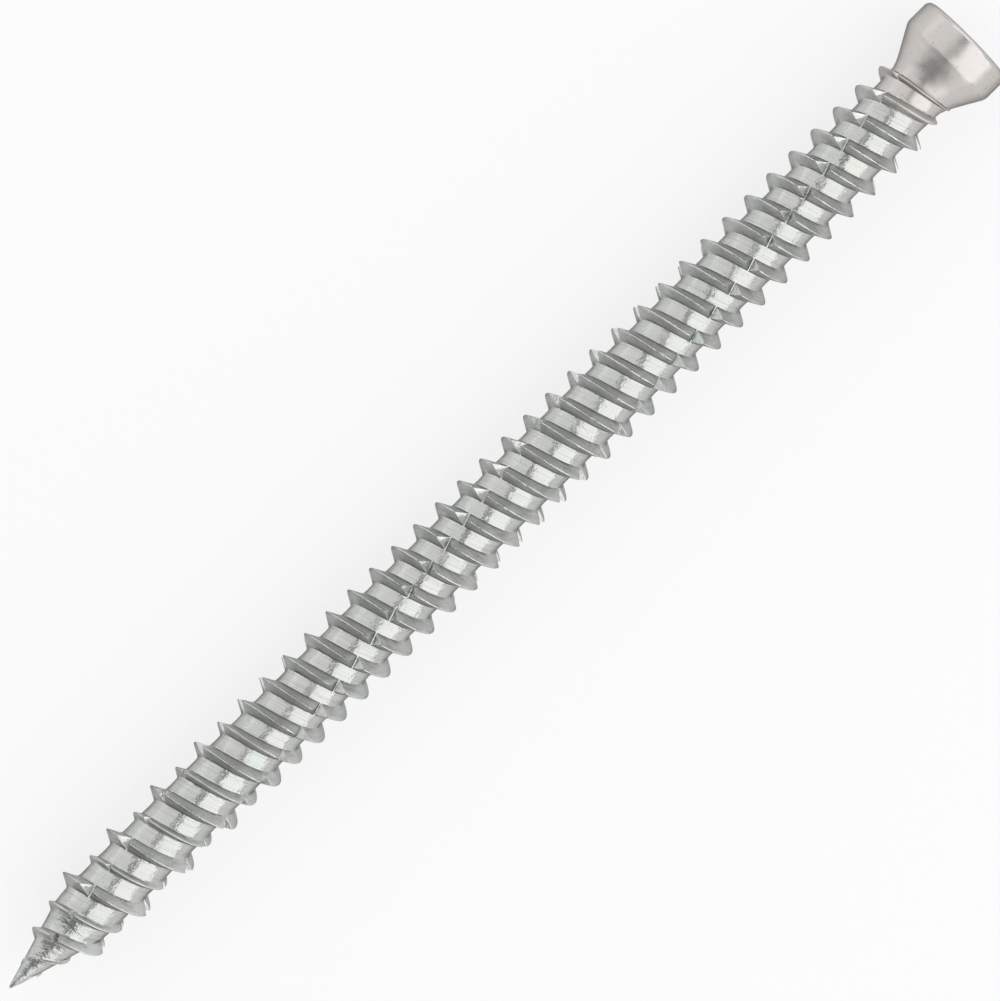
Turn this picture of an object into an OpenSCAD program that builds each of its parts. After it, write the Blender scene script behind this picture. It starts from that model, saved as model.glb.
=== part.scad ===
// Concrete screw: a small cylinder head on a cone, a core with two ridges
// wound side by side, and a tapered point. Millimetres. The axis is X, the
// centre of the head's top face is the origin, and the point lies at -X.

/* [Overall] */
// Length from the point to the top of the head
screw_len = 112; // [70:1:160]
// Diameter of the core between the ridges
core_d = 5.2; // [4.6:0.1:5.6]
// Length of the tapered point
point_len = 8.4; // [5:0.1:14]

/* [Head] */
// Diameter of the rim
head_d = 9.1; // [8:0.1:12]
// Height of the straight rim
rim_h = 2.5; // [1.5:0.1:5]
// Height of the cone under the rim
cone_h = 3.3; // [2:0.1:6]
// Step from the core out to the small end of the cone
neck_step = 0.15; // [0.1:0.05:0.4]
// Length of the taper from the cone into the core
neck_len = 1.6; // [0.8:0.1:3]
// Rounding of the rim's top edge
edge_r = 0.4; // [0.1:0.05:0.8]
// Rounding between the rim and the cone
shoulder_r = 1.2; // [0.2:0.1:2]
// Hollow rounding between the cone and the neck
neck_r = 2.4; // [0.2:0.1:3]

/* [Drive recess] */
// Number of lobes
lobes = 6; // [4:1:8]
// Width across opposite lobes
lobe_d = 5.6; // [4:0.1:6.4]
// Width across opposite hollows
hollow_d = 3.95; // [3:0.05:4]
// Depth of the straight wall
recess_depth = 2.6; // [1.5:0.1:3.2]
// Depth of the cone under the straight wall
recess_cone_h = 0.7; // [0.3:0.1:1]
// Width of the bevel round the mouth
mouth_bevel = 0.25; // [0.1:0.05:0.5]

/* [Thread] */
// Diameter over the tall ridges
thread_d = 7.5; // [6.8:0.1:8.2]
// Advance of each ridge in one turn
thread_lead = 5.15; // [4:0.05:7]
// Width of the flat crest
crest_w = 0.12; // [0.08:0.02:0.3]
// Lean of each flank from square to the axis
flank_deg = 25; // [15:1:30]
// Place of the first tall crest on the +Y side, from the point
first_crest = 4.93; // [0:0.01:5]
// Length over which the ridges rise out of the point
rise_len = 9; // [4:0.5:15]
// Length over which the ridges fade out at the head
fade_len = 4; // [2:0.5:10]
// How far up the cone the ridges end
fade_over = 0.8; // [0:0.1:1]

/* [Low ridge] */
// Diameter over the second ridge near the point
low_d = 6.3; // [5.8:0.05:6.7]
// Distance from the point over which it stays low
low_len = 18; // [5:1:40]
// Length over which it then grows as tall as the first
grow_len = 15; // [5:1:20]

/* [Notches] */
// Lines of notches round the screw
notch_lines = 3; // [2:1:4]
// Turn of each line round the axis, degrees back for each mm towards the head
notch_drift = 2.75; // [0:0.05:4]
// Angle of one line from +Y, where it would leave the point
notch_angle = 221; // [0:1:360]
// Length along the crest of the gentle face
gentle_len = 0.9; // [0.5:0.05:1.2]
// Length along the crest of the steep face
steep_len = 0.5; // [0.3:0.05:0.9]
// Height of the ridge left at the bottom
notch_floor = 0.15; // [0.05:0.05:0.3]

/* [Hidden] */
head_h = rim_h + cone_h;
full_h = (thread_d - core_d) / 2;
low_h = (low_d - core_d) / 2;

// Stations of the ridges in one turn, and the rows across both of them
turn_stations = 24;
ridge_rows = 4;
ridge_count = 2;
lead_rows = ridge_rows * ridge_count;
station_deg = 360 / turn_stations;
// Half a station's turn lays a flat of the winding, not a corner, on the floor
function station_angle(k) = (k + 0.5) * station_deg;

// The shank runs into the head, and starts two turns before the first crest
sunk_len = 1.4;
shank_len = screw_len - head_h + sunk_len;
fade_end = screw_len - head_h + fade_over;
start_u = first_crest - 2 * thread_lead;
stations = ceil((shank_len - start_u + thread_lead) / thread_lead * turn_stations);
// Rows closer than this to the tip or the shank's end merge into it
merge_len = 0.3;
// Least spread of a ridge's foot, where it has no height
foot_w = 0.12;

// Pitch of the notches along a ridge, as the lines turn against it
against = 1 + notch_drift * thread_lead / 360;
notch_step = 360 / notch_lines / against;
// Shortest notch on a low ridge, as a share of the full length
notch_least = 0.35;

// Points on an arc, a bevel's flats and the fine circle
arc_steps = 6;
lobe_steps = 10;
head_fn = 96;

function unit(v) = v / norm(v);
function share(v) = min(1, max(0, v));
function smooth(v) = v * v * (3 - 2 * v);

// Corner q between p and s, rounded to radius r
function rounded(p, q, s, r) =
    let (a = unit(p - q), b = unit(s - q), half = acos(a * b) / 2,
         c = q + unit(a + b) * r / sin(half), reach = r / tan(half),
         from = q + a * reach - c, to = q + b * reach - c)
    [for (i = [0:arc_steps]) c + r * unit(from + (to - from) * i / arc_steps)];

// Radius of the core at distance u from the point
function core_r(u) = core_d / 2 * share(u / point_len);

// How much of its height a ridge has at u: it rises on the point and fades at the head
function presence(u) = smooth(share(u / rise_len)) * sin(90 * share((fade_end - u) / fade_len));

// Height of ridge s, the tall one 0 or the low one 1, at u
function ridge_h(s, u) =
    presence(u) * (s == 0 ? full_h : low_h + (full_h - low_h) * share((u - low_len) / grow_len));

// Distance from the point of the middle of ridge s at angle a along the winding
function ridge_u(s, a) = start_u + thread_lead * (a / 360 + s / ridge_count);

// Angle along ridge s of the notch nearest to angle a
function near_notch(s, a) =
    let (first = (notch_angle - notch_drift * ridge_u(s, 0)) / against)
    first + notch_step * round((a - first) / notch_step);

// Corner of a notch that the crest makes at angle a: -1 gentle lip, 0 floor, 1 steep lip, 2 none
function notch_corner(s, a) =
    let (c = round((a - near_notch(s, a)) / station_deg))
    abs(c) > 1 || ridge_h(s, ridge_u(s, a)) < 2 * notch_floor ? 2 : c;

// Angle to which the crest's point at angle a moves, so that notches keep their shape
function crest_angle(s, a) =
    let (c = notch_corner(s, a), h = ridge_h(s, ridge_u(s, a)),
         size = max(notch_least, (h - notch_floor) / (full_h - notch_floor)),
         len = c == -1 ? -gentle_len : c == 1 ? steep_len : 0)
    c == 2 ? a : near_notch(s, a) + size * len / (thread_d / 2) * 180 / PI;

// Foot and crest of ridge s at angle a, on its point side (-1) or head side (1): [u, radius, angle]
function foot_point(s, a, side) =
    let (mid = ridge_u(s, a), spread = max(foot_w, ridge_h(s, mid) * tan(flank_deg)),
         u = mid + side * (crest_w / 2 + spread))
    [u, core_r(u), a];
function crest_point(s, a, side) =
    let (b = crest_angle(s, a), mid = ridge_u(s, b), h = ridge_h(s, mid),
         cut = notch_corner(s, a) == 0 ? min(h, notch_floor) : h,
         u = mid + side * (crest_w / 2 + (h - cut) * tan(flank_deg)))
    [u, core_r(mid) + cut, b];

// Point of row i at station k: foot, crest, crest, foot of each ridge in turn
function row_point(k, i) =
    let (s = floor(i / ridge_rows), row = i % ridge_rows, side = row < 2 ? -1 : 1, a = station_angle(k))
    row == 1 || row == 2 ? crest_point(s, a, side) : foot_point(s, a, side);

function placed(p) = [p[0] - screw_len, p[1] * cos(p[2]), p[1] * sin(p[2])];

// Number of a point: the tip is 0, the shank's end ring comes next, then the rows
function point_number(k, i) =
    i == lead_rows ? point_number(k + turn_stations, 0) :
    let (u = row_point(k, i)[0])
    u < merge_len ? 0 :
    u > shank_len - merge_len ? 1 + k % turn_stations :
    1 + turn_stations + k * lead_rows + i;

function three_apart(f) = f[0] != f[1] && f[1] != f[2] && f[2] != f[0];

// Core, ridges and point as one winding of rows from the tip into the head
module shank() {
    tip = [[-screw_len, 0, 0]];
    ring = [for (k = [0:turn_stations - 1]) placed([shank_len, core_d / 2, station_angle(k)])];
    rows = [for (k = [0:stations], i = [0:lead_rows - 1]) placed(row_point(k, i))];
    sides = [for (k = [0:stations - 1], i = [0:lead_rows - 1])
        let (p = point_number(k, i), q = point_number(k + 1, i),
             r = point_number(k + 1, i + 1), s = point_number(k, i + 1))
        for (f = [[p, r, q], [p, s, r]]) if (three_apart(f)) f];
    end = [for (k = [0:turn_stations - 1]) turn_stations - k];
    polyhedron(concat(tip, ring, rows), concat(sides, [end]), convexity = 10);
}

// Rim, cone and neck, turned about the axis
module head() {
    top = [head_d / 2, 0];
    shoulder = [head_d / 2, -rim_h];
    neck = [core_d / 2 + neck_step, -head_h];
    inside = [core_d / 2 - neck_step, -head_h - neck_len];
    outline = concat(
        [[0, 0]],
        rounded([0, 0], top, shoulder, edge_r),
        rounded(top, shoulder, neck, shoulder_r),
        rounded(shoulder, neck, inside, neck_r),
        [inside, [0, inside[1]]]);
    rotate([0, 90, 0]) rotate_extrude($fn = head_fn) polygon(outline);
}

// Lobed socket for the driver bit, with a bevelled mouth and a conical bottom
module recess() {
    mean_r = (lobe_d + hollow_d) / 4;
    swing_r = (lobe_d - hollow_d) / 4;
    rim_cut = 1;
    outline = [for (i = [0:lobes * lobe_steps - 1])
        let (a = 360 * i / (lobes * lobe_steps), r = mean_r + swing_r * cos(lobes * a))
        [r * cos(a), r * sin(a)]];
    rotate([0, 90, 0]) {
        translate([0, 0, -recess_depth]) linear_extrude(recess_depth + rim_cut) polygon(outline);
        translate([0, 0, -recess_depth - recess_cone_h])
            cylinder(recess_cone_h, 0, hollow_d / 2, $fn = head_fn);
        translate([0, 0, -mouth_bevel])
            cylinder(2 * mouth_bevel, lobe_d / 2 - mouth_bevel, lobe_d / 2 + mouth_bevel, $fn = head_fn);
    }
}

module screw() {
    color("silver") difference() {
        union() {
            head();
            shank();
        }
        recess();
    }
}

screw();
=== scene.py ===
# Concrete screw in bright zinc plate, lying on a pale floor and seen from above.
from math import acos, atan2, copysign, cos, degrees, floor, pi, radians, sin, sqrt, tan

import bmesh
import bpy
from mathutils import Matrix, Vector


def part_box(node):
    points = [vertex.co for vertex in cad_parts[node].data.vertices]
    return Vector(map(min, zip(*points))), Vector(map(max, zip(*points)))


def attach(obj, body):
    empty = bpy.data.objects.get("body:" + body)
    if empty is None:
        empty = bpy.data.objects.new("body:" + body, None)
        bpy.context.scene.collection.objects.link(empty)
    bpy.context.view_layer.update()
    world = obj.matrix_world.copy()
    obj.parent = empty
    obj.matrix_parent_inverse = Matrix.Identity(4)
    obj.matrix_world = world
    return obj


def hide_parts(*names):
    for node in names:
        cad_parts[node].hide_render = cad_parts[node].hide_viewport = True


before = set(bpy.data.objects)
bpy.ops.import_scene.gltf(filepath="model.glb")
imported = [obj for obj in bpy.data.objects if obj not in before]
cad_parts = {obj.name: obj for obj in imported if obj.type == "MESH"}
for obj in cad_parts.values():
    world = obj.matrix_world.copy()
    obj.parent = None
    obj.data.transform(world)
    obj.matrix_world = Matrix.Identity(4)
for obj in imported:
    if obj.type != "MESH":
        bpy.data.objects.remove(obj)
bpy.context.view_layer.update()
scene = bpy.context.scene
scene.view_settings.view_transform = "Standard"
mm = 0.001

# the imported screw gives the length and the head's width, the rest is in millimetres below
lowCorner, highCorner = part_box("screw")
screwLength = -lowCorner.x / mm
rimRadius = min(highCorner.y, highCorner.z) / mm
floorHeight = lowCorner.z
print("frame loaded, screw", round(screwLength, 2), "mm long, head", round(2 * rimRadius, 2), "mm wide")

head = {
    "rimHeight": 2.5,
    "coneHeight": 3.3,
    "neckRadius": 2.61,     # small end of the cone
    "neckSoft": 0.32,       # hollow between the cone and the core
    "shoulderRound": 1.2,
    "edgeRound": 0.55,
    "ringDepth": 3.75,      # where the winding hands over to the head
    "arcSteps": 6,
}

recess = {
    "lobes": 6,
    "lobeRadius": 2.8,
    "hollowRadius": 1.975,
    "lipWidth": 0.05,       # narrow ring that keeps the mouth's edge crisp
    "mouthBevel": 0.25,
    "wallStart": 0.02,      # step from the bevel down to the lobed wall
    "wallDepth": 2.6,
    "wallSteps": 4,
    "floorRound": 0.15,
    "floorDrop": 0.05,
    "coneDepth": 0.7,
    "coneShares": (0.66, 0.33),     # rings of the conical bottom
}

thread = {
    "coreRadius": 2.6,
    "pointLength": 8.4,
    "pointSoft": 0.12,      # rounding where the point meets the core
    "tipRadius": 0.1,
    "tallHeight": 1.15,
    "lowHeight": 0.55,      # second ridge near the point
    "lowLength": 18,
    "growLength": 15,
    "lead": 5.15,
    "firstCrest": 4.93,     # first tall crest on the +Y side, from the point
    "flankLean": 25,
    "crestRound": 0.06,
    "runoutRound": 0.22,    # crest where a ridge runs out under the head
    "footRound": 0.2,
    "footFull": 0.5,        # height from which a ridge has the whole of that rounding
    "riseLength": 9,
    "fadeEnds": (4.2, 3.6),     # where the tall and the second ridge run out, from the head's top
    "fadeLengths": (5.0, 4.0),
    "crowdStart": 6.8,      # from here up, the last turn is drawn in under the head
    "crowdShare": 0.58,
    "turnSteps": 96,
    "rowPlaces": (0.04, 0.10, 0.20, 0.32, 0.46, 0.62, 0.78, 0.97),  # rows beside each crest
    "edgeRow": 0.20,        # the one of them that follows the edge of a notch
    "rowSlack": 0.001,
    "footRow": 0.62,        # and the one at the foot of the flank
    "leastSpread": 0.4,     # rows keep this share of their spread where a ridge is low
    "snap": 0.14,           # rows this near an end join it
}

notch = {
    "lines": 3,
    "drift": 2.75,          # degrees back round the axis for each mm towards the head
    "angle": 221,
    # faces of the cut from its narrow flat bottom up to the lip: mm along the ridge, share of the depth
    "gentleFace": ((0, 0), (0.065, 0), (0.13, 0.05), (0.5, 0.51), (0.9, 1)),
    "steepFace": ((0, 0), (0.06, 0), (0.11, 0.08), (0.5, 1)),
    "floorHeight": 0.05,
    "slant": -0.45,         # how far the cut turns along the ridge for each mm across it
    "leastSize": 0.35,
    "easeSteps": 5,         # stations that move aside for a notch
}

stationTurn = 360 / thread["turnSteps"]
lead = thread["lead"]
startPlace = thread["firstCrest"] - 2 * lead    # tall ridge at angle 0, two turns before its first crest
windStart = startPlace - lead / 4
ringPlace = screwLength - head["ringDepth"]
coneSlope = (rimRadius - head["neckRadius"]) / head["coneHeight"]


def clampShare(value):
    return min(1.0, max(0.0, value))


def smoothShare(value):
    value = clampShare(value)
    return value * value * (3 - 2 * value)


def softMax(first, second, soft):
    return (first + second + sqrt((first - second) ** 2 + soft * soft)) / 2


def bodyRadius(place):
    # point, core and the start of the cone, at a distance from the tip
    growth = thread["coreRadius"] - thread["tipRadius"]
    taper = thread["tipRadius"] + growth * place / thread["pointLength"]
    core = -softMax(-taper, -thread["coreRadius"], thread["pointSoft"])
    cone = rimRadius - (screwLength - head["rimHeight"] - place) * coneSlope
    return softMax(core, cone, head["neckSoft"])


def fadeShare(ridge, place):
    fadeEnd = screwLength - thread["fadeEnds"][ridge]
    return clampShare((fadeEnd - place) / thread["fadeLengths"][ridge])


def crestRound(ridge, place):
    return thread["runoutRound"] + (thread["crestRound"] - thread["runoutRound"]) * fadeShare(ridge, place)


def ridgeHeight(ridge, place):
    rise = smoothShare(place / thread["riseLength"])
    full = thread["tallHeight"]
    if ridge == 1:
        grow = clampShare((place - thread["lowLength"]) / thread["growLength"])
        full = thread["lowHeight"] + (full - thread["lowHeight"]) * grow
    return rise * fadeShare(ridge, place) * full


def sectionHeight(across, height, crest):
    # section of a ridge with its crest and feet rounded off
    foot = thread["footRound"] * clampShare(height / thread["footFull"])
    slope = tan(radians(thread["flankLean"]))
    roof = height - (sqrt(across * across + crest * crest) - crest) / slope
    return (roof + sqrt(roof * roof + foot * foot)) / 2


def widthAt(left, height):
    # half the width of a ridge where a cut leaves this much of its height
    crest = thread["crestRound"]
    slope = tan(radians(thread["flankLean"]))
    return sqrt(((height - left) * slope + crest) ** 2 - crest * crest)


def ridgeMiddle(ridge, angle):
    return startPlace + lead * (angle / 360 + ridge / 2)


def nearestNotch(ridge, angle):
    against = 1 + notch["drift"] * lead / 360
    first = (notch["angle"] - notch["drift"] * ridgeMiddle(ridge, 0)) / against
    pitch = 360 / notch["lines"] / against
    return first + pitch * round((angle - first) / pitch)


def cutNotch(ridge, station, across, height, spread):
    # where a row beside a notch moves, as an angle and a place across, and the height that the cut leaves
    angle = station * stationTurn
    bottom = nearestNotch(ridge, angle)
    stepsAway = station - round(bottom / stationTurn)
    crestRadius = thread["coreRadius"] + thread["tallHeight"]
    deepest = notch["floorHeight"]
    size = max(notch["leastSize"], (height - deepest) / (thread["tallHeight"] - deepest))
    side, face = (1, notch["steepFace"]) if stepsAway > 0 else (-1, notch["gentleFace"])
    steps = len(face) - 1
    inside = abs(stepsAway) <= steps
    along, share = face[min(abs(stepsAway), steps)]
    reach = degrees(size * along / crestRadius)
    left = height
    if inside:
        # rows inside the cut lie on its face, and those outside close up on the flank
        left = deepest + share * (height - deepest)
        edge = widthAt(left, height)
        edgeRow = spread * thread["edgeRow"]
        footRow = spread * thread["footRow"]
        if abs(across) < edgeRow + thread["rowSlack"]:
            across *= edge / edgeRow
        elif abs(across) < footRow:
            toFoot = (abs(across) - edgeRow) / (footRow - edgeRow)
            across = copysign(edge + toFoot * (footRow - edge), across)
    bottom += degrees(notch["slant"] * across / crestRadius)
    if inside:
        return bottom + side * reach, across, left
    ease = 1 - smoothShare((abs(stepsAway) - steps) / notch["easeSteps"])
    lip = angle - (stepsAway - side * steps) * stationTurn
    return angle + ease * (bottom + side * reach - lip), across, left


def shapeWinding(vert, shareLayer, cutLayer):
    # where this corner of the plain winding belongs: its ridge, station and place across the ridge
    place = vert.co.x + screwLength
    turnAngle = degrees(atan2(vert.co.z, vert.co.y)) % 360
    turns = (place - windStart) / lead - turnAngle / 360
    wholeTurns = floor(turns)
    rowPlace = (turns - wholeTurns) * lead
    ridge = 0 if rowPlace < lead / 2 else 1
    across = rowPlace - lead * (0.25 + 0.5 * ridge)
    rows = (0, *thread["rowPlaces"], lead / 4)
    across = copysign(min(rows, key=lambda row: abs(row - abs(across))), across)
    station = round((360 * wholeTurns + turnAngle) / stationTurn)
    angle = station * stationTurn
    height = ridgeHeight(ridge, ridgeMiddle(ridge, angle))

    # rows draw together where the ridge is low, but the middle of the root stays
    lastRow = thread["rowPlaces"][-1]
    inRidge = clampShare((lead / 4 - abs(across)) / (lead / 4 - lastRow))
    lean = tan(radians(thread["flankLean"]))
    spread = (height * lean + thread["crestRound"]) / (thread["tallHeight"] * lean + thread["crestRound"])
    spread = max(thread["leastSpread"], spread)
    across *= 1 - inRidge * (1 - spread)

    left = height
    if height > 2 * notch["floorHeight"]:
        footRow = spread * thread["footRow"]
        follow = clampShare((lastRow * spread - abs(across)) / (lastRow * spread - footRow))
        moved, across, left = cutNotch(ridge, station, across, height, spread)
        angle += follow * (moved - angle)
    middle = ridgeMiddle(ridge, angle)
    height = ridgeHeight(ridge, middle)
    place = middle + across
    crowdPlace = screwLength - thread["crowdStart"]
    if place > crowdPlace:
        place = crowdPlace + thread["crowdShare"] * (place - crowdPlace)
    section = sectionHeight(across, height, crestRound(ridge, middle))
    rise = inRidge * min(section, max(left, 0))
    if place < thread["snap"]:
        vert.co = (-screwLength, 0, 0)
        return
    if place > ringPlace - thread["snap"]:
        place, rise, angle = ringPlace, 0, station * stationTurn
    radius = bodyRadius(place) + rise
    vert.co = (place - screwLength, radius * cos(radians(angle)), radius * sin(radians(angle)))
    vert[shareLayer] = rise / thread["tallHeight"]
    vert[cutLayer] = 1 if left < min(height, section) else 0    # on the face of a notch


# corners this near merge, shorter edges go, and folds of more degrees stay sharp
meshing = {
    "mergeDistance": 0.0005,
    "leastEdge": 0.0001,
    "sharpAngle": 28,
}


def windThread(bm):
    # one lead of rows, both ridges, spun for one turn; its copies run from before the tip to past the neck
    rows = [0, lead / 2, lead]
    for middle in (lead / 4, 3 * lead / 4):
        rows.append(middle)
        for away in thread["rowPlaces"]:
            rows += [middle - away, middle + away]
    startX = windStart - screwLength
    verts = [bm.verts.new((startX + row, thread["coreRadius"], 0)) for row in sorted(rows)]
    edges = [bm.edges.new(pair) for pair in zip(verts, verts[1:])]
    bmesh.ops.spin(
        bm, geom=verts + edges, cent=(0, 0, 0), axis=(1, 0, 0), dvec=(lead / thread["turnSteps"], 0, 0),
        angle=2 * pi, steps=thread["turnSteps"], use_merge=False, use_duplicate=False)
    oneTurn = bm.verts[:] + bm.edges[:] + bm.faces[:]
    windTurns = floor((ringPlace - windStart) / lead) + 2
    for turn in range(1, windTurns):
        copied = bmesh.ops.duplicate(bm, geom=oneTurn)["geom"]
        copiedVerts = [part for part in copied if isinstance(part, bmesh.types.BMVert)]
        bmesh.ops.translate(bm, vec=(lead * turn, 0, 0), verts=copiedVerts)
    shareLayer = bm.verts.layers.float.new("ridgeShare")
    cutLayer = bm.verts.layers.float.new("cutShare")
    for vert in bm.verts:
        shapeWinding(vert, shareLayer, cutLayer)
    bmesh.ops.remove_doubles(bm, verts=bm.verts, dist=meshing["mergeDistance"])
    bmesh.ops.dissolve_degenerate(bm, edges=bm.edges, dist=meshing["leastEdge"])


def roundCorner(before, corner, after, radius, steps):
    # points of the arc that rounds a corner of an outline
    toBefore = (Vector(before) - Vector(corner)).normalized()
    toAfter = (Vector(after) - Vector(corner)).normalized()
    half = acos(toBefore.dot(toAfter)) / 2
    centre = Vector(corner) + (toBefore + toAfter).normalized() * radius / sin(half)
    start = Vector(corner) + toBefore * radius / tan(half) - centre
    end = Vector(corner) + toAfter * radius / tan(half) - centre
    return [centre + start.lerp(end, i / steps).normalized() * radius for i in range(steps + 1)]


def lobeRadius(turn):
    mean = (recess["lobeRadius"] + recess["hollowRadius"]) / 2
    swing = (recess["lobeRadius"] - recess["hollowRadius"]) / 2
    return mean - swing * cos(recess["lobes"] * turn)


def drawLoop(bm, loop, placeAt):
    # extrude the open loop and lay its new corners where placeAt says, as x and radius
    made = bmesh.ops.extrude_edge_only(bm, edges=loop)["geom"]
    for vert in [part for part in made if isinstance(part, bmesh.types.BMVert)]:
        turn = atan2(vert.co.z, vert.co.y)
        x, radius = placeAt(turn)
        vert.co = (x, radius * cos(turn), radius * sin(turn))
    return [part for part in made if isinstance(part, bmesh.types.BMEdge) and part.is_boundary]


def drawHead(bm):
    ring = (-head["ringDepth"], bodyRadius(ringPlace))
    shoulder = (-head["rimHeight"], rimRadius)
    top = (0, rimRadius)
    mouth = recess["lobeRadius"]
    outline = roundCorner(ring, shoulder, top, head["shoulderRound"], head["arcSteps"])
    outline += roundCorner(shoulder, top, (0, mouth), head["edgeRound"], head["arcSteps"])
    outline += [(0, (rimRadius + mouth) / 2), (0, mouth + recess["lipWidth"]), (0, mouth)]
    loop = [edge for edge in bm.edges if edge.is_boundary]
    for point in outline:
        loop = drawLoop(bm, loop, lambda turn: point)

    def bevelRadius(turn):
        return max(lobeRadius(turn), mouth - recess["mouthBevel"])

    # bevelled mouth, lobed wall and conical bottom
    loop = drawLoop(bm, loop, lambda turn: (bevelRadius(turn) - mouth, bevelRadius(turn)))
    wallTop = mouth + recess["wallStart"]
    loop = drawLoop(bm, loop, lambda turn: (bevelRadius(turn) - wallTop, lobeRadius(turn)))
    wallHeight = recess["wallDepth"] - recess["mouthBevel"]
    for step in range(1, recess["wallSteps"] + 1):
        depth = -recess["mouthBevel"] - wallHeight * step / recess["wallSteps"]
        loop = drawLoop(bm, loop, lambda turn: (depth, lobeRadius(turn)))
    inner = recess["hollowRadius"] - recess["floorRound"]
    loop = drawLoop(bm, loop, lambda turn: (depth - recess["floorDrop"], inner))
    for share in recess["coneShares"]:
        loop = drawLoop(bm, loop, lambda turn: (depth - recess["coneDepth"] * (1 - share), inner * share))
    last = bmesh.ops.extrude_edge_only(bm, edges=loop)["geom"]
    tipVerts = [part for part in last if isinstance(part, bmesh.types.BMVert)]
    bmesh.ops.pointmerge(bm, verts=tipVerts, merge_co=(-recess["wallDepth"] - recess["coneDepth"], 0, 0))


def buildScrew():
    bm = bmesh.new()
    windThread(bm)
    print("winding:", len(bm.faces), "faces,", sum(edge.is_boundary for edge in bm.edges), "open edges")
    drawHead(bm)
    bmesh.ops.dissolve_degenerate(bm, edges=bm.edges, dist=meshing["leastEdge"])
    loose = [vert for vert in bm.verts if not vert.link_faces]
    bmesh.ops.delete(bm, geom=loose, context="VERTS")
    bmesh.ops.recalc_face_normals(bm, faces=bm.faces)
    bmesh.ops.scale(bm, vec=(mm, mm, mm), verts=bm.verts)
    openEdges = sum(not edge.is_manifold for edge in bm.edges)
    mesh = bpy.data.meshes.new("zincScrew")
    bm.to_mesh(mesh)
    bm.free()
    for face in mesh.polygons:
        face.use_smooth = True
    mesh.set_sharp_from_angle(angle=radians(meshing["sharpAngle"]))
    screw = bpy.data.objects.new("zincScrew", mesh)
    scene.collection.objects.link(screw)
    mesh.calc_loop_triangles()
    print("screw:", len(mesh.loop_triangles), "triangles,", openEdges, "open edges")
    return screw


zinc = {
    "coolColor": (0.555, 0.585, 0.567, 1),
    "warmColor": (0.585, 0.575, 0.55, 1),   # patches in the plating
    "headColor": (0.6, 0.57, 0.548, 1),
    "pitColor": (0.3, 0.295, 0.28, 1),
    "glanceColor": (0.28, 0.285, 0.28, 1),  # dims the mirror image along the outline
    "streakColor": (0.4, 0.42, 0.41, 1),
    "streakShare": 0.6,
    # painted highlight: white that the ridges' flanks are lifted towards, in place of light the deep
    # grooves don't catch
    "paintedLightColor": (1, 1, 1, 1),
    "ridgePaintedLight": 0.18,    # how far painted light lifts the ridges' flanks towards white
    "headStart": -9.0,      # mm from the head's top, where the plating turns warm
    "headEnd": -7.0,
    "coreRough": (0.2, 0.3),
    "headRough": (0.26, 0.36),
    "flankRough": 0.45,
    "crestRough": 0.24,
    "cutRough": 0.2,        # faces of the notches
    "flankShares": (0.06, 0.3),     # from the root to where it is dull, as shares of the tall ridge
    "crestShares": (0.75, 0.95),    # and on to where the crest is glossy again
    # noise in colour and gloss: mm, and the values from which and up to which it grows
    "tint": {"size": 2.4, "detail": 2, "span": (0.35, 0.65)},
    "streaks": {"size": 0.16, "detail": 2, "span": (0.48, 0.72), "rolled": True},
    "pits": {"size": 0.22, "detail": 1, "span": (0.66, 0.85)},
    "clouds": {"size": 3.0, "detail": 2, "span": (0.35, 0.65)},
    # unevenness of the surface: waves, grains, grit, and the rolling marks along the winding,
    # each in mm and with its strength on the shank and on the head
    "marks": [
        {"size": 1.6, "depth": 0.08, "detail": 1, "strengths": (1, 0.8)},
        {"size": 0.5, "depth": 0.06, "detail": 2, "strengths": (1, 0)},
        {"size": 0.09, "depth": 0.009, "detail": 1, "strengths": (0.4, 0.8)},
        {"size": 0.12, "depth": 0.008, "detail": 1, "strengths": (1, 0), "rolled": True},
    ],
    "plainStretch": (1, 1, 1),
    "rolledStretch": (1, 1, 0.06),
    "noiseRough": 0.6,
}


def addNode(tree, kind, **sockets):
    node = tree.nodes.new(kind)
    for name, value in sockets.items():
        node.inputs[name].default_value = value
    return node


def noiseNode(tree, coords, winding, pattern):
    # noise with features of about the pattern's size, drawn out along the winding where it is rolled
    rolled = pattern.get("rolled", False)
    stretch = zinc["rolledStretch"] if rolled else zinc["plainStretch"]
    scale = tuple(value / (pattern["size"] * mm) for value in stretch)
    mapping = addNode(tree, "ShaderNodeMapping", Scale=scale)
    noise = addNode(
        tree, "ShaderNodeTexNoise", Scale=1, Detail=pattern["detail"], Roughness=zinc["noiseRough"])
    tree.links.new(winding if rolled else coords, mapping.inputs["Vector"])
    tree.links.new(mapping.outputs["Vector"], noise.inputs["Vector"])
    return noise.outputs["Fac"]


def rangeNode(tree, source, fromLow, fromHigh, toLow, toHigh):
    ends = {"From Min": fromLow, "From Max": fromHigh, "To Min": toLow, "To Max": toHigh}
    node = addNode(tree, "ShaderNodeMapRange", **ends)
    tree.links.new(source, node.inputs["Value"])
    return node.outputs["Result"]


def mixNode(tree, share, first, second, kind="RGBA"):
    node = tree.nodes.new("ShaderNodeMix")
    node.data_type = kind
    sockets, output = ((2, 3), 0) if kind == "FLOAT" else ((6, 7), 2)
    tree.links.new(share, node.inputs[0])
    for place, value in zip(sockets, (first, second)):
        if isinstance(value, (float, tuple)):
            node.inputs[place].default_value = value
        else:
            tree.links.new(value, node.inputs[place])
    return node.outputs[output]


def mathNode(tree, operation, *sources):
    node = tree.nodes.new("ShaderNodeMath")
    node.operation = operation
    for place, source in enumerate(sources):
        if isinstance(source, float):
            node.inputs[place].default_value = source
        else:
            tree.links.new(source, node.inputs[place])
    return node.outputs["Value"]


def shareNode(tree, name):
    # one of the shares that the winding left on the screw's corners
    node = tree.nodes.new("ShaderNodeAttribute")
    node.attribute_name = name
    return node.outputs["Fac"]


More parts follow.
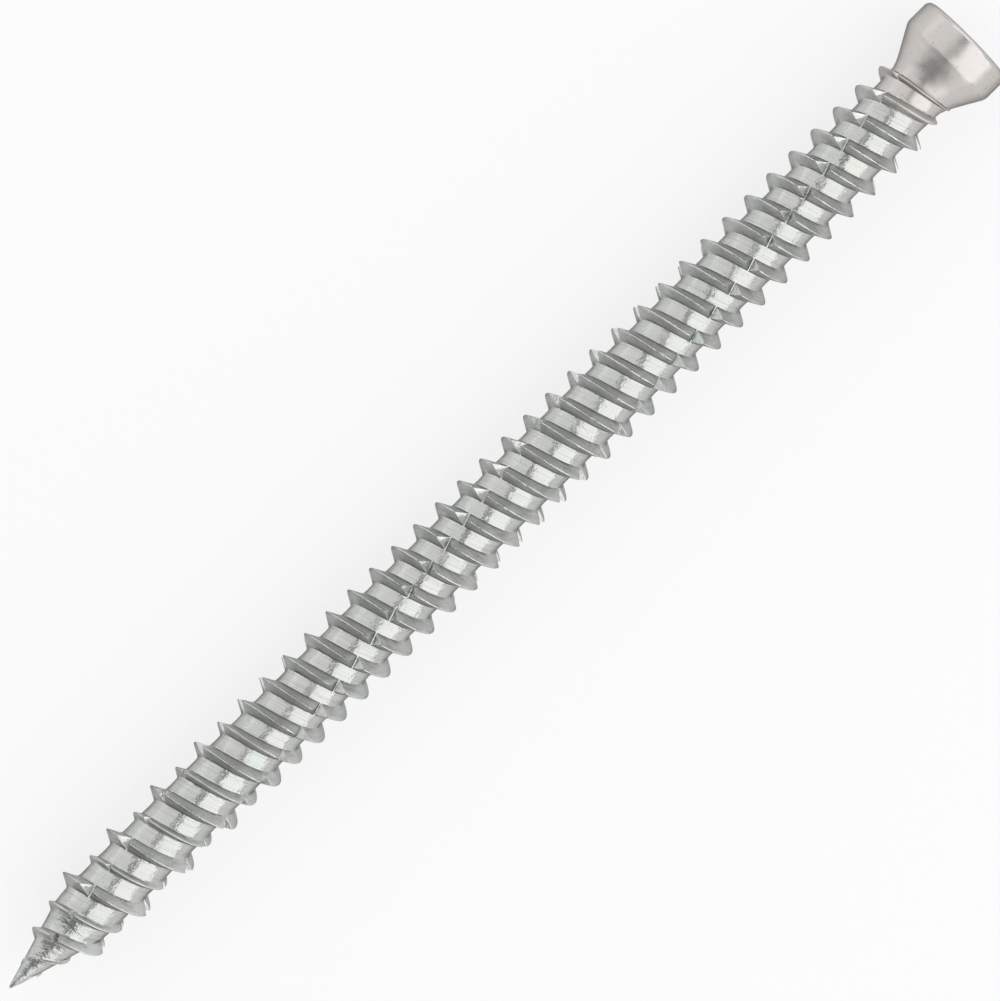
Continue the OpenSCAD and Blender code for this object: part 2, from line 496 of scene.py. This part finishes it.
def windingCoords(tree, split):
    # across the winding on a ring that closes after each lead, and along the axis, in metres
    turn = mathNode(tree, "ARCTAN2", split.outputs["Z"], split.outputs["Y"])
    advance = mathNode(tree, "MULTIPLY", split.outputs["X"], 2 * pi / (lead * mm))
    phase = mathNode(tree, "SUBTRACT", advance, turn)
    joined = tree.nodes.new("ShaderNodeCombineXYZ")
    for axis, operation in (("X", "COSINE"), ("Y", "SINE")):
        swing = mathNode(tree, operation, phase)
        tree.links.new(mathNode(tree, "MULTIPLY", swing, lead * mm / (2 * pi)), joined.inputs[axis])
    tree.links.new(split.outputs["X"], joined.inputs["Z"])
    return joined.outputs["Vector"]


def zincPlate():
    mat = bpy.data.materials.new("zincPlate")
    mat.use_nodes = True
    tree = mat.node_tree
    shader = tree.nodes["Principled BSDF"]
    coords = tree.nodes.new("ShaderNodeTexCoord").outputs["Object"]
    split = tree.nodes.new("ShaderNodeSeparateXYZ")
    tree.links.new(coords, split.inputs["Vector"])
    winding = windingCoords(tree, split)
    ridgeShare = shareNode(tree, "ridgeShare")
    flank = rangeNode(tree, ridgeShare, *zinc["flankShares"], 0, 1)
    headShare = rangeNode(tree, split.outputs["X"], zinc["headStart"] * mm, zinc["headEnd"] * mm, 0, 1)

    def spread(pattern, low=0, high=1):
        return rangeNode(tree, noiseNode(tree, coords, winding, pattern), *pattern["span"], low, high)

    # cool plating with warmer patches and rolled streaks, warm all over on the head, painted light that
    # lifts the ridges towards white, and small dark pits
    color = mixNode(tree, spread(zinc["tint"]), zinc["coolColor"], zinc["warmColor"])
    color = mixNode(tree, spread(zinc["streaks"], high=zinc["streakShare"]), color, zinc["streakColor"])
    color = mixNode(tree, headShare, color, zinc["headColor"])
    # painted light: the flanks are paled towards white to stand in for light that doesn't reach the
    # grooves
    paintedLift = rangeNode(tree, flank, 0, 1, 0, zinc["ridgePaintedLight"])
    color = mixNode(tree, paintedLift, color, zinc["paintedLightColor"])
    color = mixNode(tree, spread(zinc["pits"]), color, zinc["pitColor"])
    tree.links.new(color, shader.inputs["Base Color"])

    # gloss in clouds on the core and the head, duller on the flanks, higher on crests and notch faces
    coreRough = spread(zinc["clouds"], *zinc["coreRough"])
    headRough = spread(zinc["clouds"], *zinc["headRough"])
    rough = mixNode(tree, headShare, coreRough, headRough, "FLOAT")
    crest = rangeNode(tree, ridgeShare, *zinc["crestShares"], 0, 1)
    ridgeRough = mixNode(tree, crest, zinc["flankRough"], zinc["crestRough"], "FLOAT")
    rough = mixNode(tree, flank, rough, ridgeRough, "FLOAT")
    rough = mixNode(tree, shareNode(tree, "cutShare"), rough, zinc["cutRough"], "FLOAT")
    tree.links.new(rough, shader.inputs["Roughness"])
    shader.inputs["Metallic"].default_value = 1
    shader.inputs["Specular Tint"].default_value = zinc["glanceColor"]

    normal = None
    for mark in zinc["marks"]:
        bump = addNode(tree, "ShaderNodeBump", Distance=mark["depth"] * mm)
        tree.links.new(noiseNode(tree, coords, winding, mark), bump.inputs["Height"])
        tree.links.new(rangeNode(tree, headShare, 0, 1, *mark["strengths"]), bump.inputs["Strength"])
        if normal:
            tree.links.new(normal, bump.inputs["Normal"])
        normal = bump.outputs["Normal"]
    tree.links.new(normal, shader.inputs["Normal"])
    return mat


screw = buildScrew()
screw.data.materials.append(zincPlate())
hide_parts("screw")
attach(screw, "root")
print("screw finished in zinc plate")


ground = {
    "size": 3.0,            # metres
    "color": (0.85, 0.85, 0.85, 1),
    "roughness": 0.8,
    "specular": 0.2,
    "whiteShare": 0.72,     # how much of the white backdrop the camera and the metal see in it
}


def paleFloor():
    mat = bpy.data.materials.new("paleFloor")
    mat.use_nodes = True
    tree = mat.node_tree
    shader = tree.nodes["Principled BSDF"]
    shader.inputs["Base Color"].default_value = ground["color"]
    shader.inputs["Roughness"].default_value = ground["roughness"]
    shader.inputs["Specular IOR Level"].default_value = ground["specular"]
    # whiter for the camera and for what mirrors the floor, over its own shade and shadow
    path = tree.nodes.new("ShaderNodeLightPath")
    share = path.outputs["Is Camera Ray"]
    for ray in ("Is Glossy Ray", "Is Transmission Ray"):
        share = mathNode(tree, "MAXIMUM", share, path.outputs[ray])
    white = addNode(tree, "ShaderNodeEmission", Strength=1)
    mix = tree.nodes.new("ShaderNodeMixShader")
    tree.links.new(rangeNode(tree, share, 0, 1, 0, ground["whiteShare"]), mix.inputs[0])
    tree.links.new(shader.outputs[0], mix.inputs[1])
    tree.links.new(white.outputs[0], mix.inputs[2])
    tree.links.new(mix.outputs[0], tree.nodes["Material Output"].inputs["Surface"])
    return mat


def buildFloor():
    bm = bmesh.new()
    bmesh.ops.create_grid(bm, x_segments=1, y_segments=1, size=ground["size"] / 2)
    bmesh.ops.translate(bm, vec=(0, 0, floorHeight), verts=bm.verts)
    mesh = bpy.data.meshes.new("paleFloor")
    bm.to_mesh(mesh)
    bm.free()
    mesh.materials.append(paleFloor())
    plane = bpy.data.objects.new("paleFloor", mesh)
    scene.collection.objects.link(plane)


buildFloor()
print("floor laid under the screw")

# a long soft panel on each side and one past the head: which way it lies from the screw,
# degrees of its edges from upright, metres, and the panel's own brightness as glow
panels = [
    {"name": "brightPanel", "away": (0, -1), "angles": (5, 82), "reach": 0.6, "length": 1.0, "glow": 1.28},
    {"name": "dimPanel", "away": (0, 1), "angles": (9, 86), "reach": 0.6, "length": 1.0, "glow": 0.8},
    {"name": "headPanel", "away": (1, 0), "angles": (50, 82), "reach": 0.75, "length": 1.0, "glow": 1.25},
]

world = {
    "zenith": (0.2, 0.2, 0.2, 1),
    "horizon": (0.62, 0.62, 0.62, 1),
    "zenithFrom": 0.45,     # height in the sky, as a share, at which the zenith's grey is reached
    "strength": 1.0,
}


def aimAt(place, target, up):
    # rotation that looks from place to target with the given way up
    back = (Vector(place) - Vector(target)).normalized()
    right = Vector(up).cross(back).normalized()
    above = back.cross(right)
    return Matrix((right, above, back)).transposed().to_4x4()


def addPanel(panel):
    awayX, awayY = panel["away"]
    centre = Vector((-screwLength / 2 * mm, 0, 0))

    def edgeAt(angle):
        turn = radians(angle)
        return centre + panel["reach"] * Vector((awayX * sin(turn), awayY * sin(turn), cos(turn)))

    top, bottom = (edgeAt(angle) for angle in panel["angles"])
    light = bpy.data.lights.new(panel["name"], "AREA")
    light.shape = "RECTANGLE"
    light.size = panel["length"]
    light.size_y = (top - bottom).length
    light.energy = panel["glow"] * pi * light.size * light.size_y
    lamp = bpy.data.objects.new(panel["name"], light)
    middle = (top + bottom) / 2
    faces = middle - (top - bottom).cross(Vector((awayY, -awayX, 0)))
    lamp.matrix_world = Matrix.Translation(middle) @ aimAt(middle, faces, top - bottom)
    lamp.visible_camera = False
    scene.collection.objects.link(lamp)


def addWorld():
    sky = bpy.data.worlds.new("studio")
    scene.world = sky
    sky.use_nodes = True
    tree = sky.node_tree
    direction = tree.nodes.new("ShaderNodeTexCoord").outputs["Generated"]
    split = tree.nodes.new("ShaderNodeSeparateXYZ")
    tree.links.new(direction, split.inputs["Vector"])
    height = rangeNode(tree, split.outputs["Z"], 0, world["zenithFrom"], 0, 1)
    color = mixNode(tree, height, world["horizon"], world["zenith"])
    background = tree.nodes["Background"]
    background.inputs["Strength"].default_value = world["strength"]
    tree.links.new(color, background.inputs["Color"])


for panel in panels:
    addPanel(panel)
addWorld()
print("studio lit by", len(panels), "panels")

camera = {
    "place": (-0.031, 0.0, 0.449),
    "target": (-0.0542, 0.00012, 0),
    "roll": 45.25,          # degrees from the screw's axis to the picture's upright
    "focalPixels": 5425,
    "imageWidth": 1000,
    "sensor": 36,
    "nearClip": 0.01,
}


def addCamera():
    data = bpy.data.cameras.new("camera")
    data.sensor_fit = "HORIZONTAL"
    data.sensor_width = camera["sensor"]
    data.lens = camera["sensor"] * camera["focalPixels"] / camera["imageWidth"]
    data.clip_start = camera["nearClip"]
    eye = bpy.data.objects.new("camera", data)
    roll = radians(camera["roll"])
    turned = aimAt(camera["place"], camera["target"], (cos(roll), sin(roll), 0))
    eye.matrix_world = Matrix.Translation(camera["place"]) @ turned
    scene.collection.objects.link(eye)
    scene.camera = eye


addCamera()
print("camera set")
